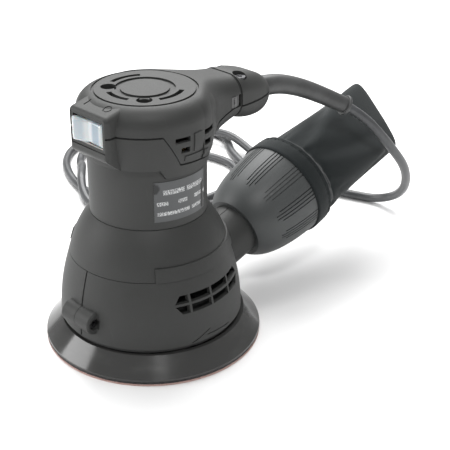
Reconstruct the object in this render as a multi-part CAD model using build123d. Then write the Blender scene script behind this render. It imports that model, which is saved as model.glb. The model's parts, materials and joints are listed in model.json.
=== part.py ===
from build123d import *
import math
import os

# Random-orbital palm sander. Millimetres, +Z up, the abrasive face on z = 0, the motor axis on Z.
# The switch faces -X, and the tail with its cord and the dust bag point to +X.

# ---- driving sizes ----
wall = 2.4
part_gap = 0.3           # open line between two mouldings
reveal_depth = 0.6       # the moulded groove that the line sits in
reveal_width = 1.0
press_gap = 0.02         # radial, shaft and ring seats inside one body
running_gap = 0.05       # radial, a pin that turns in its hole
moving_gap = 0.4         # between faces that pass each other

# pad and abrasive
pad_radius = 62.5
pad_top_radius = 53.1
disc_thickness = 1.0
hook_thickness = 1.4
pad_edge = 1.2
pad_height = 11.0
orbit = 1.25             # offset of the pad's axis from the motor's
dust_hole_radius = 5.0
dust_hole_circle = 32.5
dust_hole_count = 8
plate_radius = 44.0
plate_thickness = 3.8
screw_access_radius = 8.0

# bearings: bore, outside and width, as radii and height
small_bearing = (4.0, 11.0, 7.0)
large_bearing = (5.0, 13.0, 8.0)

# body shells
bell_base_radius = 52.2
bell_base = 16.8
bell_split = 55.0
shoulder_top = 80.0
motor_radius = 32.8
shoulder_line_radius = 45.5
band_top = 62.3
band_rise = 0.9
head_bottom = 109.5
head_front_bottom = 115.0
head_radius = 37.4
head_top = 148.5
head_corner = 11.0
head_lip_radius = 33.6
box_front = 40.0
box_half_width = 15.5
box_bottom = 121.8
box_front_top = 144.8
box_roof_fillet = 3.2
box_front_fillet = 2.8
tail_split = 57.0
tail_axis_height = 126.8
vent_upper = (-18.9, -16.1)   # from the head's top, as are the next two pairs
vent_lower = (-24.9, -21.9)
vent_foot = (-29.9, -27.1)
window_half_width = box_half_width - 1.9
window_bottom = 125.4
window_top = 143.3

# motor
shaft_radius = 5.0
armature_radius = 19.2
air_gap = 0.6
core_bottom = 68.0
core_top = 100.0
stator_radius = 28.0
commutator_radius = 10.5

# dust outlet and bag
outlet_tilt = 16.5
outlet_start = (47.0, 32.2)
outlet_radius = 16.7
outlet_wall = 2.3
outlet_length = 36.0
collar_start = 23.5
collar_end = 67.0
collar_mouth_radius = 19.6
collar_big_radius = 31.2
collar_wall = 2.2
ring_depth = 9.0
flute_groups = 12
flute_width = 0.7
flute_depth = 0.7
hem_rise = 0.8           # the hem stands proud of the collar
hem_length = 11.2
hem_thickness = 2.6
bag_end = 161.0
bag_half_width = 26.5
bag_half_thickness = 10.5   # at the flat sewn end
bag_turn = -45.0         # the flat end leans about the outlet's line
bag_side_drift = 2.5
bag_droop = 5.0

# switch and dial
pivot_x = -35.5
rocker_half_width = 11.2
rocker_bottom = 127.7
rocker_top = 141.3
rocker_rest_angle = 7.0
lug_thickness = 1.2
dial_radius = 9.2
dial_thickness = 6.4
dial_height = 127.6
dial_x = 51.0
dial_y = -7.6
dial_window_x = 52.5
dial_window_half = 4.2

# cord
cord_radius = 3.1
guard_radius = 5.7
clamp_screw_rows = (-7.6, 7.6)
coil_centre = (147.0, 165.0)
coil_inner = 24.0
coil_outer = 92.0
coil_height = 12.0
plug_start = (83.3, 91.9)
plug_heading = -70.0
plug_relief = 12.0
plug_length = 44.0
plug_half_thickness = 6.9
pin_radius = 2.0
pin_neck_radius = 1.6
pin_length = 19.0
pin_seat = 12.0
pin_spacing = 19.0

low = (Align.CENTER, Align.CENTER, Align.MIN)


# ---- plain shapes ----
def disc(radius, bottom, top, x=0.0, y=0.0):
    return Pos(x, y, bottom) * Cylinder(radius, top - bottom, align=low)


def ring(outer, inner, bottom, top, x=0.0, y=0.0):
    return disc(outer, bottom, top, x, y) - disc(inner, bottom - 1, top + 1, x, y)


def block(x0, x1, y0, y1, z0, z1):
    centre = Pos((x0 + x1) / 2, (y0 + y1) / 2, (z0 + z1) / 2)
    return centre * Box(x1 - x0, y1 - y0, z1 - z0)


def turned(points):
    return revolve(Plane.XZ * make_face(Polyline(*points, close=True)), Axis.Z)


def sector(outer, inner, bottom, top, middle, spread):
    """Part of a ring, centred on the angle middle and spread degrees wide."""
    points = ((inner, bottom), (outer, bottom), (outer, top), (inner, top))
    face = Plane.XZ * make_face(Polyline(*points, close=True))
    return Rot(0, 0, middle - spread / 2) * revolve(face, Axis.Z, spread)


def side_prism(points, half=60.0):
    """An outline drawn in X and Z, extruded to both sides along Y."""
    return extrude(Plane.XZ * make_face(Polyline(*points, close=True)), amount=half, both=True)


def around(solid, radius, angles, x=0.0, y=0.0):
    """Copies of a solid that stands at the axis, moved out to a circle."""
    copies = []
    for angle in angles:
        copies.append(Pos(x, y, 0) * Rot(0, 0, angle) * Pos(radius, 0, 0) * solid)
    return copies


def fused(solids):
    whole = solids[0]
    for extra in solids[1:]:
        whole = whole + extra
    return whole


def group(solids):
    return Compound(children=list(solids))


# ---- outer forms ----
def bell_form(inset, base=bell_base):
    """The dome from the brake gap up to the motor tube, inset by a wall."""
    outline = (
        (bell_base_radius - inset, base),
        (bell_base_radius - 0.6 - inset, bell_base + 10.2),
        (bell_base_radius - 2.2 - inset, bell_base + 21.2),
        (shoulder_line_radius - inset, bell_split),
        (shoulder_line_radius - 2.3 - inset, band_top),
        (shoulder_line_radius - 6.6 - inset, band_top + 9.2),
        (motor_radius - inset, shoulder_top),
    )
    edge = Spline(*outline)
    bottom = Line((0, base), outline[0])
    top = Line(outline[-1], (0, shoulder_top))
    axis = Line((0, shoulder_top), (0, base))
    return revolve(Plane.XZ * make_face(edge + bottom + top + axis), Axis.Z)


def bell_skin(depth):
    return bell_form(0.0) - bell_form(depth)


def tail_section(x, half_width, bottom, top, corner, inset):
    plane = Plane(origin=(x, 0, (bottom + top) / 2), x_dir=(0, 1, 0), z_dir=(1, 0, 0))
    width = 2 * (half_width - inset)
    height = top - bottom - 2 * inset
    corner = min(max(corner - inset, 1.0), min(width, height) / 2 - 0.2)
    return plane * RectangleRounded(width, height, corner)


def tail_form(inset):
    return loft([
        tail_section(8, head_radius - 1, head_bottom + 1, head_top, 11, inset),
        tail_section(24, 27.5, head_bottom + 1.5, head_top, 11, inset),
        tail_section(36, 19.5, head_bottom + 3.5, head_top - 1.3, 11, inset),
        tail_section(47, 17.2, head_bottom + 6.5, head_top - 3.3, 11, inset),
        tail_section(tail_split, 16.8, head_bottom + 9.1, head_top - 4.7, 11, inset),
    ])


def cap_form(inset, start=tail_split):
    return loft([
        tail_section(start, 16.8, head_bottom + 9.1, head_top - 4.7, 11, inset),
        tail_section(tail_split + 8, 16.7, head_bottom + 6.3, head_top - 5.0, 11, inset),
        tail_section(tail_split + 16, 15.8, head_bottom + 5.0, head_top - 6.9, 11, inset),
        tail_section(tail_split + 24, 13.6, head_bottom + 5.6, head_top - 10.0, 9.5, inset),
        tail_section(tail_split + 29.5, 10.8, head_bottom + 8.0, head_top - 13.6, 8, inset),
        tail_section(tail_split + 32 - inset, 8.4, head_bottom + 10.4, head_top - 16.2, 6.5, inset),
    ])


def round_head(inset):
    radius = head_radius - inset
    corner = head_corner - inset
    top = head_top - inset
    side = Spline(
        (head_lip_radius - inset, head_bottom + inset),
        (head_lip_radius + 1.4 - inset, head_bottom + 5.0),
        (head_radius - 0.7 - inset, head_bottom + 13.0),
        (radius, head_bottom + 22.0),
    )
    wall_line = Line((radius, head_bottom + 22.0), (radius, top - corner))
    edge = RadiusArc((radius, top - corner), (radius - corner, top), -corner)
    roof = Line((radius - corner, top), (0, top))
    axis = Line((0, top), (0, head_bottom + inset))
    floor = Line((0, head_bottom + inset), (head_lip_radius - inset, head_bottom + inset))
    return revolve(Plane.XZ * make_face(side + wall_line + edge + roof + axis + floor), Axis.Z)


def switch_box(inset):
    outline = (
        (-box_front + inset, box_bottom + inset),
        (-box_front + inset, box_front_top - inset),
        (-24.0, head_top - inset),
        (-8.0, head_top - inset),
        (-8.0, head_front_bottom + inset),
        (-head_lip_radius + 1.5, head_front_bottom + inset),
    )
    solid = side_prism(outline, box_half_width - inset)
    roof = [edge for edge in solid.edges().filter_by(Plane.XZ) if edge.center().Z > box_front_top - inset - 0.01]
    solid = fillet(roof, box_roof_fillet)
    front = solid.faces().sort_by(Axis.X)[0]
    return fillet(front.edges(), box_front_fillet)


def head_form(inset):
    return round_head(inset) + switch_box(inset) + tail_form(inset)


# ---- where the head's mouldings part ----
def above_parting(rise):
    line = (
        (-60.0, head_top - 14.5),
        (-17.5, head_top - 14.5),
        (-7.5, head_top - 31.7),
        (12.0, head_top - 33.1),
        (27.0, head_top - 31.7),
        (36.0, head_top - 24.9),
        (51.0, head_top - 21.0),
        (tail_split + 4, head_top - 20.0),
    )
    points = [(x, z + rise) for x, z in line]
    points += [(tail_split + 4, head_top + 20), (-60.0, head_top + 20)]
    return side_prism(points)


def below_head_line(drop):
    """Everything under the lower edge of the head base, which dips at the sides."""
    points = (
        (-60.0, head_front_bottom - drop),
        (-17.5, head_front_bottom - drop),
        (-14.0, head_bottom - drop),
        (80.0, head_bottom - drop),
        (80.0, 60.0),
        (-60.0, 60.0),
    )
    return side_prism(points)


# ---- pad ----
def dust_holes(bottom, top, radius=dust_hole_radius):
    hole = disc(radius, bottom, top)
    step = 360 / dust_hole_count
    angles = [step / 2 + step * index for index in range(dust_hole_count)]
    return group(around(hole, dust_hole_circle, angles, orbit))


pad_bottom = disc_thickness + hook_thickness
pad_top = pad_bottom + pad_height
plate_top = pad_top - moving_gap
plate_bottom = plate_top - plate_thickness


def sanding_disc():
    return disc(pad_radius, 0, disc_thickness, orbit) - dust_holes(-1, disc_thickness + 1)


def hook_layer():
    solid = disc(pad_radius - 0.3, disc_thickness, pad_bottom, orbit)
    solid -= dust_holes(0, pad_bottom + 1)
    return solid - disc(screw_access_radius, 0, pad_bottom + 1, orbit)


def pad_body():
    rim = pad_bottom + pad_edge
    lip = pad_top_radius - 2.2
    cone = turned((
        (0, pad_bottom), (pad_radius, pad_bottom), (pad_radius, rim), (pad_top_radius, pad_top),
        (lip, pad_top), (plate_radius + 1.5, pad_top - 1.4), (0, pad_top - 1.4),
    ))
    cone = Pos(orbit, 0, 0) * cone
    cone -= disc(plate_radius + press_gap, plate_bottom - press_gap, pad_top + 1, orbit)
    cone -= dust_holes(pad_bottom - 1, pad_top + 1)
    return cone - disc(screw_access_radius, pad_bottom - 1, pad_top + 1, orbit)


def backing_plate():
    plate = disc(plate_radius, plate_bottom, plate_top - 1.4, orbit)
    plate += disc(pad_screw_radius * 8, plate_bottom, plate_top, orbit)
    plate -= dust_holes(plate_bottom - 1, plate_top + 1)
    return plate - disc(pad_screw_radius + 0.3, plate_bottom - 1, plate_top + 1, orbit)


pad_screw_radius = 2.5
spindle_top = pad_top + 15.0
pad_bearing_bottom = pad_top + 6.6


def pad_spindle():
    flange = disc(16, plate_top, plate_top + 3, orbit)
    shoulder = disc(7, plate_top + 3, pad_bearing_bottom, orbit)
    stem = disc(shaft_radius - press_gap, pad_bearing_bottom, spindle_top, orbit)
    thread = disc(pad_screw_radius + running_gap, plate_top - 1, spindle_top - 3, orbit)
    return flange + shoulder + stem - thread


def pad_screw():
    head = disc(4.5, plate_bottom - 4, plate_bottom, orbit)
    drive = extrude(Plane.XY.offset(plate_bottom - 4) * RegularPolygon(2.4, 6), amount=2)
    shank = disc(pad_screw_radius, plate_bottom, spindle_top - 4, orbit)
    return head + shank - Pos(orbit, 0, 0) * drive


# ---- bearings ----
def bearing_outer(size, bottom, x=0.0):
    bore, outside, width = size
    race = outside - 0.3 * (outside - bore)
    return ring(outside, race, bottom, bottom + width, x)


def bearing_inner(size, bottom, x=0.0):
    """The inner ring with its loose balls, which clear both races a little."""
    bore, outside, width = size
    reach = outside - bore
    race = bore + 0.3 * reach
    ball = (reach * 0.4) / 2 - running_gap
    solids = [ring(race, bore + press_gap, bottom, bottom + width, x)]
    middle = Pos(0, 0, bottom + width / 2) * Sphere(ball)
    solids += around(middle, bore + reach / 2, [45 * index for index in range(8)], x)
    return group(solids)


# ---- rotor ----
hub_bottom = pad_bearing_bottom - 0.5
shaft_bottom = spindle_top + 2.0
lower_bearing_bottom = bell_split - 3.0
upper_bearing_bottom = head_front_bottom + 9.0
shaft_top = upper_bearing_bottom + small_bearing[2] + 1.5
fan_bottom = shaft_bottom + 8.6
commutator_bottom = core_top + 9.0
commutator_top = commutator_bottom + 12.0


def motor_shaft():
    journal = disc(shaft_radius, shaft_bottom, commutator_top + 1)
    return journal + disc(small_bearing[0], commutator_top + 1, shaft_top)


def armature_slots(outer, inner, width, bottom, top):
    slot = block(inner, outer, -width / 2, width / 2, bottom, top)
    return around(slot, 0, [30 * index for index in range(12)])


def armature_core():
    core = ring(armature_radius, shaft_radius + press_gap, core_bottom, core_top)
    slots = armature_slots(armature_radius + 1, 11.0, 2.6, core_bottom - 1, core_top + 1)
    return core - group(slots)


def armature_windings():
    lower = ring(17.0, 6.5, core_bottom - 5.5, core_bottom - 0.1)
    upper = ring(17.0, 6.5, core_top + 0.1, core_top + 7.0)
    bars = armature_slots(armature_radius - 1.2, 11.2, 2.2, core_bottom - 1, core_top + 1)
    return fused([lower, upper] + bars)


def commutator():
    body = ring(commutator_radius, shaft_radius + press_gap, commutator_bottom, commutator_top)
    slot = block(commutator_radius - 0.8, commutator_radius + 1, -0.25, 0.25,
                 commutator_bottom - 1, commutator_top + 1)
    return body - group(around(slot, 0, [30 * index for index in range(12)]))


def cooling_fan():
    hub = disc(9, fan_bottom, fan_bottom + 11)
    web = disc(37, fan_bottom, fan_bottom + 1.5)
    blade = block(14, 37, -0.7, 0.7, fan_bottom + 1, fan_bottom + 10)
    wheel = fused([hub + web] + around(blade, 0, [40 * index for index in range(9)]))
    return wheel - disc(shaft_radius + press_gap, fan_bottom - 1, fan_bottom + 12)


def eccentric_hub():
    """Carries the pad bearing off-centre, with the counterweight and the dust fan's blades."""
    collar_top = fan_bottom - 1.0
    bearing_top = pad_bearing_bottom + large_bearing[2]
    cup = disc(18, hub_bottom, spindle_top + 1.5)
    neck = disc(9, spindle_top + 1, collar_top)
    web = disc(38, spindle_top + 1.5, spindle_top + 3.0)
    weight = sector(30, 16, hub_bottom + 1.5, spindle_top + 2, 180, 110)
    blade = block(23, 38, -0.7, 0.7, hub_bottom + 3, spindle_top + 2)
    blades = around(blade, 0, [24 * index - 108 for index in range(10)])
    solid = fused([cup + neck + web + weight] + blades)
    solid -= disc(large_bearing[1] + press_gap, hub_bottom - 1, bearing_top, orbit)
    solid -= disc(shaft_radius + 3, bearing_top - 1, spindle_top + 0.8, orbit)
    return solid - disc(shaft_radius + press_gap, spindle_top, collar_top + 1)


# ---- fan housing, shoulder and motor tube ----
def boss_form():
    """The screw boss across the front joint, lying along Y, with tapered ends."""
    centre = Pos(-bell_base_radius + 2.2, 0, bell_base + 11.5)
    solid = centre * Rot(90, 0, 0) * Cylinder(6.6, 23)
    return chamfer(solid.edges(), 0.8)


def grille_cut(side):
    """Two rows of exhaust windows with pointed ends, through the wall on one side."""
    plane = Plane(origin=(0, 0, 41.2), x_dir=(1, 0, 0), z_dir=(0, side, 0))
    turn = Rot(0, 0, -3.0 * side)
    outline = Polyline((-24.5, 0), (-21, 5.2), (23.0, 5.2), (26.5, 0), (23.0, -5.2), (-21, -5.2),
                       close=True)
    windows = make_face(outline)
    windows -= Rectangle(60, 1.3)
    for place in (-16.0, -2.0, 13.0):
        windows -= Pos(place, 0) * Rectangle(1.3, 20)
    return turn * extrude(plane * windows, amount=70) & block(-60, 60, -60, 60, 20, 60)


def arrow_cut():
    """The engraved turning arrow low on the bell: a shaft and one barb."""
    plane = Plane(origin=(0, 0, bell_base + 2.0), x_dir=(1, 0, 0), z_dir=(0, -1, 0))
    shaft = Pos(4.0, 0.4) * Rot(0, 0, -3) * Rectangle(18, 0.6)
    barb = Pos(-9.0, 1.2) * Rot(0, 0, 24) * Rectangle(13, 0.6)
    return extrude(plane * (shaft + barb), amount=60) & bell_skin(0.45)


def fan_housing(side):
    """One half of the bell, split on the XZ plane. side is +1 for +Y and -1 for -Y."""
    lower = disc(70, bell_base - 1, bell_split - part_gap)
    shell = bell_form(0.0) - bell_form(wall, bell_base - 0.5)
    shell = shell & lower
    ledge = ring(bell_base_radius - 1.5, 44.0, bell_base + 1.6, bell_base + 3.4)
    shelf = ring(bell_base_radius - 3.0, 22.0, spindle_top + 4.6, spindle_top + 6.0)
    shell += ledge
    shell += shelf & bell_form(1.0)
    boss = (boss_form() - bell_form(1.0)) + (boss_form() & bell_form(0.0))
    shell += boss
    screw_line = Pos(-bell_base_radius + 0.9, 0, bell_base + 11.5) * Rot(90, 0, 0)
    shell -= screw_line * Cylinder(1.7, 40)
    shell -= Pos(0, -10.3, 0) * screw_line * Cylinder(3.3, 6)
    shell -= outlet_cutter(outlet_radius + 1.4)
    shell -= grille_cut(side)
    if side < 0:
        shell -= arrow_cut()
    joint = block(-70, 0, -reveal_width / 2, reveal_width / 2, 0, 60)
    shell -= joint & bell_skin(reveal_depth)
    half = block(-70, 70, min(0, side * 70), max(0, side * 70), 0, 90)
    half = Pos(0, side * part_gap / 2, 0) * half
    return shell & half


def shoulder_cover():
    solid = (bell_form(0.0) - bell_form(wall)) & disc(70, bell_split, shoulder_top - part_gap)
    seat = ring(motor_radius - 0.6, motor_radius - 2.2 + 0.15, shoulder_top - 6, shoulder_top - part_gap)
    solid += seat
    solid -= band_region(0.15)
    return solid - outlet_cutter(outlet_radius + 1.4)


def band_region(extra):
    """The patch around the tail side that the dust outlet's band fills."""
    return sector(60, 30, bell_split - 0.01, band_top + extra, 0, 2 * (128 + extra))


def dust_outlet():
    rim = (bell_form(-band_rise, bell_base) - bell_form(0.9)) & band_region(0.0)
    saddle = (bell_form(-band_rise) - bell_form(-0.1)) & sector(70, 30, bell_base + 1, band_top - 0.1, 0, 40)
    pipe = outlet_cutter(outlet_radius, 6.0)
    root = pipe & (bell_form(-band_rise) - bell_form(wall + 0.4))
    spout = pipe - bell_form(-0.2)
    solid = rim + saddle + spout + root
    inside = outlet_place() * Pos(0, 0, -30) * Cylinder(outlet_radius - outlet_wall, 90, align=low)
    mould_line = outlet_place() * Pos(-outlet_radius, 0, 15) * Box(0.5, 0.6, 44)
    brake_space = disc(bell_base_radius + 0.4, 0, bell_base + 1.8)
    return solid - inside - mould_line - brake_space


def outlet_place():
    """Local Z runs out along the dust outlet."""
    return Pos(outlet_start[0], 0, outlet_start[1]) * Rot(0, 90 - outlet_tilt, 0)


def outlet_cutter(radius, back=14.0):
    return outlet_place() * Pos(0, 0, -back) * Cylinder(radius, outlet_length + back, align=low)


def brake_ring():
    return turned((
        (45.0, bell_base - 2.6), (50.4, bell_base - 2.6), (50.4, bell_base - 1.2),
        (49.4, bell_base + 1.5), (46.0, bell_base + 1.5),
    ))


def motor_housing():
    spigot = motor_radius - 2.6
    tube = disc(motor_radius, shoulder_top, head_front_bottom) & below_head_line(part_gap)
    neck = disc(spigot, bell_split + 7, head_front_bottom + 6)
    tube = tube + neck - disc(stator_radius + 0.1, 0, 200)
    for side in (-1, 1):
        window = block(-6.2, 6.2, min(side * 25, side * 40), max(side * 25, side * 40),
                       head_bottom + 1, head_front_bottom + 7)
        tube -= window
    return tube


def bearing_plate():
    """The bridge under the motor that carries its lower bearing."""
    seat = large_bearing[1]
    top = lower_bearing_bottom + large_bearing[2]
    hub = disc(seat + 3, lower_bearing_bottom - 1, top)
    floor = disc(shoulder_line_radius - wall - 0.8, bell_split - 0.2, bell_split + 1.6)
    post = ring(motor_radius - 0.4, motor_radius - 2.6 + 0.15, bell_split, bell_split + 9)
    plate = hub + floor + post
    window = sector(27, 18, bell_split - 3, bell_split + 4, 0, 38)
    plate -= group(around(window, 0, [60 * index for index in range(6)]))
    plate -= disc(seat + press_gap, lower_bearing_bottom, top + 1)
    return plate - disc(seat - 2.5, lower_bearing_bottom - 2, top)


def rating_label():
    return sector(motor_radius + 0.25, motor_radius + 0.02, shoulder_top + 4.5, head_bottom - 2.0,
                  -96, 60)


def icon_label():
    return sector(motor_radius + 0.5, motor_radius + 0.28, shoulder_top + 5.5, head_bottom - 9.0,
                  -69.5, 4.6)


# ---- stator and brushes ----
pole_angles = (0, 180)
coil_inner_radius = armature_radius + air_gap + 1.0
coil_outer_radius = coil_inner_radius + 4.2


def field_stator():
    body = ring(stator_radius, armature_radius + air_gap, core_bottom, core_top)
    for pole in pole_angles:
        for side in (-1, 1):
            body -= sector(coil_outer_radius + 0.2, armature_radius, core_bottom - 1, core_top + 1,
                           pole + side * 66, 25)
    return body


def field_coils():
    coils = []
    for pole in pole_angles:
        ends = [(core_bottom - 4.4, core_bottom - 0.1), (core_top + 0.1, core_top + 4.4)]
        loop = fused([sector(coil_outer_radius, coil_inner_radius, bottom, top, pole, 156)
                      for bottom, top in ends])
        for side in (-1, 1):
            loop += sector(coil_outer_radius, coil_inner_radius, core_bottom - 2, core_top + 2,
                           pole + side * 66, 22)
        coils.append(loop)
    return group(coils)


brush_height = commutator_bottom + 6.0
brush_size = (6.3, 8.0)
brush_start = commutator_radius + 0.1


def to_both_sides(solid):
    return group([solid, Rot(0, 0, 180) * solid])


def brush_holders():
    half_x = brush_size[0] / 2 + 0.1
    half_z = brush_size[1] / 2 + 0.1
    shell = block(-half_x - 1.1, half_x + 1.1, commutator_radius + 1.5, 27.4,
                  brush_height - half_z - 1.1, brush_height + half_z + 1.1)
    hollow = block(-half_x, half_x, 0, 26.4, brush_height - half_z, brush_height + half_z)
    return to_both_sides(shell - hollow)


def carbon_brushes():
    half_x = brush_size[0] / 2
    half_z = brush_size[1] / 2
    brush = block(-half_x, half_x, brush_start, 21.5, brush_height - half_z, brush_height + half_z)
    return to_both_sides(brush)


def brush_springs():
    coil = Pos(0, 21.6, brush_height) * Rot(-90, 0, 0) * Cylinder(2.6, 4.7, align=low)
    core = Pos(0, 21.0, brush_height) * Rot(-90, 0, 0) * Cylinder(1.9, 6.0, align=low)
    return to_both_sides(coil - core)


# ---- head ----
cover_screw_circle = 19.5
cover_screw_angles = (132.5, -132.5)
cover_screw_seat = head_top - 5.5
cap_screw_places = ((tail_split + 5.2, -9.6), (tail_split + 5.2, 9.6))


def parting_reveal(skin):
    return (above_parting(-reveal_width / 2) - above_parting(reveal_width / 2)) & skin


def round_grille(cover):
    cover -= ring(28.6, 27.2, head_top - 1.0, head_top + 1)
    cover -= ring(16.3, 13.2, head_top - 1.0, head_top + 1)
    for middle, spread in ((180, 46), (83, 54), (-83, 54)):
        cover -= sector(21.4, 18.6, head_top - wall - 2, head_top + 1, middle, spread)
    return cover


def side_vents():
    cuts = []
    for x0, x1, row in ((-11.5, -2.6, vent_upper), (8.6, 17.5, vent_upper),
                        (-8.0, -2.6, vent_lower), (8.6, 14.0, vent_lower)):
        cuts.append(block(x0, x1, -60, 60, head_top + row[0], head_top + row[1]))
    return group(cuts)


def vent_relief():
    """The raised upside-down T between the side vents."""
    stem = block(0.2, 5.8, -60, 60, head_top + vent_lower[0] - 0.6, head_top + vent_upper[1] + 0.6)
    foot = block(-5.5, 11.5, -60, 60, head_top + vent_foot[0], head_top + vent_foot[1])
    skin = head_form(-0.5) - head_form(0.05)
    return (stem + foot) & skin


def switch_marks(form):
    """The on bar and the off ring, sunk into the top in front of the round grille."""
    bar = block(-35.0, -29.8, 7.6, 8.5, 140, 150)
    oval = ring(2.5, 1.8, 140, 150, -32.2, -7.6)
    return ((bar + oval) & form) - Pos(0, 0, -0.45) * form


def top_cover():
    outer = head_form(0.0)
    skin = outer - head_form(reveal_depth)
    cover = outer - head_form(wall)
    cover = cover & above_parting(part_gap / 2)
    for angle in cover_screw_angles:
        boss = disc(5.3, head_top - 10.4, head_top - 1.5)
        cover += around(boss, cover_screw_circle, [angle])[0]
    cover = round_grille(cover)
    cover += vent_relief()
    cover -= side_vents()
    for angle in cover_screw_angles:
        cover -= around(disc(4.25, cover_screw_seat, head_top + 1), cover_screw_circle, [angle])[0]
        cover -= around(disc(1.8, head_top - 12, head_top), cover_screw_circle, [angle])[0]
    cover -= switch_marks(outer)
    cover -= parting_reveal(skin)
    cover -= window_opening()
    cover -= dial_window()
    cover -= block(tail_split - reveal_width / 2 - part_gap, 80, -60, 60, 90, 160) & skin
    return cover & block(-60, tail_split - part_gap / 2, -60, 60, 90, 160)


def head_base():
    outer = head_form(0.0)
    skin = outer - head_form(reveal_depth)
    base = (outer - head_form(wall)) - above_parting(-part_gap / 2)
    base -= below_head_line(0.0)
    base -= disc(motor_radius - 2.6 + 0.2, 90, head_bottom + wall + 4)
    web = disc(head_radius, upper_bearing_bottom - 2.5, upper_bearing_bottom - 0.5) & head_form(1.0)
    web -= disc(small_bearing[1] - 2.5, 90, 160)
    for side in (-1, 1):
        web -= sector(30, 17.5, 100, 160, side * 90, 60)
    web -= block(24, 60, -60, 60, 100, 160)
    base += web - above_parting(-part_gap / 2 - 0.1)
    base += ring(small_bearing[1] + 3, small_bearing[1] + press_gap, upper_bearing_bottom - 2.5,
                 upper_bearing_bottom + small_bearing[2])
    base += ring(small_bearing[1] + 1, small_bearing[1] - 2.5, upper_bearing_bottom - 2.5,
                 upper_bearing_bottom - 0.05)
    for angle in cover_screw_angles:
        post = disc(4.2, upper_bearing_bottom - 1, head_top - 10.6) - disc(1.65, 100, head_top)
        base += around(post, cover_screw_circle, [angle])[0]
    base -= parting_reveal(skin)
    base -= window_opening()
    base -= dial_window()
    base -= block(tail_split - reveal_width / 2 - part_gap, 80, -60, 60, 90, 160) & skin
    return base & block(-60, tail_split - part_gap / 2, -60, 60, 90, 160)


def window_opening():
    return block(-60, -box_front + 3, -window_half_width, window_half_width, window_bottom, window_top)


def dial_window():
    slot = block(dial_window_x - dial_window_half, dial_window_x + dial_window_half, -30, -12,
                 dial_height - 0.5, dial_height + dial_thickness + 0.5)
    return slot + dial_space()


def dial_space():
    return disc(dial_radius + part_gap, dial_height - moving_gap,
                dial_height + dial_thickness + moving_gap, dial_x, dial_y)


def tail_cap(upper):
    outer = cap_form(0.0)
    skin = outer - cap_form(reveal_depth)
    cap = outer - cap_form(wall, tail_split - 1)
    cap -= Pos(tail_split + 31, 0, tail_axis_height) * Rot(0, 90, 0) * Cylinder(guard_radius + 0.1, 14)
    for x, y in cap_screw_places:
        if upper:
            cap += disc(4.6, tail_axis_height, head_top - 7.5, x, y) & cap_form(0.5)
            cap -= disc(4.1, head_top - 9.0, head_top, x, y)
            cap -= disc(1.8, 100, head_top, x, y)
            cap -= dial_space()
        else:
            cap += (disc(4.0, 100, tail_axis_height, x, y) & cap_form(0.5)) - disc(1.65, 121, 140, x, y)
    if not upper:
        saddle = block(tail_split + 12, tail_split + 18, -12.5, 12.5, 105, tail_axis_height - 0.2)
        cap += saddle & cap_form(0.5)
        cap -= Pos(tail_split + 15, 0, tail_axis_height) * Rot(0, 90, 0) * Cylinder(cord_radius + 0.05, 12)
        for y in clamp_screw_rows:
            cap -= disc(1.35, 120, 140, tail_split + 15, y)
    line = block(40, 120, -60, 60, tail_axis_height - reveal_width / 2, tail_axis_height + reveal_width / 2)
    cap -= line & skin
    cap -= block(40, tail_split + part_gap / 2 + reveal_width / 2, -60, 60, 90, 160) & skin
    half = block(tail_split + part_gap / 2, 120, -60, 60, tail_axis_height + part_gap / 2, 190)
    if not upper:
        half = block(tail_split + part_gap / 2, 120, -60, 60, 60, tail_axis_height - part_gap / 2)
    return cap & half


# ---- switch, speed dial and electrics ----
def switch_frame():
    frame = block(-box_front + 0.5, -box_front + 2.8, -window_half_width + 0.15, window_half_width - 0.15,
                  window_bottom + 0.15, window_top - 0.15)
    lugs = block(-box_front + 0.5, pivot_x + 3.2, -rocker_half_width - lug_thickness,
                 rocker_half_width + lug_thickness, window_bottom + 0.15, window_top - 0.15)
    lugs = lugs & switch_box(wall + 0.1)
    mouth = block(-60, 0, -rocker_half_width - 0.5, rocker_half_width + 0.5,
                  rocker_bottom - 0.5, rocker_top + 0.5)
    pivot = disc(1.2 + running_gap, 100, 160, pivot_x)
    return (frame + lugs) - mouth - pivot


def rocker_outline(grow):
    """Seen from above: a shallow V that faces -X, with the pivot behind its middle."""
    tip = rocker_half_width - 0.7 + grow
    points = [(-2.0 - grow, 0), (-4.6 - grow, -tip), (-0.6 + grow, -tip), (-0.6 + grow, tip),
              (-4.6 - grow, tip)]
    return make_face(Polyline(*points, close=True))


def at_pivot(solid):
    return Pos(pivot_x, 0, 0) * Rot(0, 0, rocker_rest_angle) * solid


def rocker():
    body = extrude(Plane.XY.offset(rocker_bottom + 0.75) * rocker_outline(0.0),
                   amount=rocker_top - rocker_bottom - 1.5)
    pin = disc(1.2, window_bottom + 0.4, window_top - 1.1)
    return at_pivot(body + pin)


def switch_boot():
    """The clear silicone skin drawn over the rocker's face."""
    skin = extrude(Plane.XY.offset(rocker_bottom) * rocker_outline(0.6),
                   amount=rocker_top - rocker_bottom)
    space = extrude(Plane.XY.offset(rocker_bottom + 0.7) * rocker_outline(0.05),
                    amount=rocker_top - rocker_bottom - 1.4)
    back = block(-1.2, 8, -20, 20, 100, 160)
    return at_pivot(skin - space - back)


def switch_body():
    return block(pivot_x + 3.5, pivot_x + 15.5, -rocker_half_width, rocker_half_width,
                 rocker_bottom - 0.5, rocker_top + 0.5)


def speed_module():
    board = block(dial_x - 14, dial_x + 3.5, -11.5, 11.5, 121.2, 125.8)
    boss = disc(4, 125, dial_height - 0.5, dial_x, dial_y)
    stem = disc(2.0, 125, dial_height + dial_thickness + 0.6, dial_x, dial_y)
    return (board + boss + stem) & tail_form(wall + 0.3)


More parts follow.
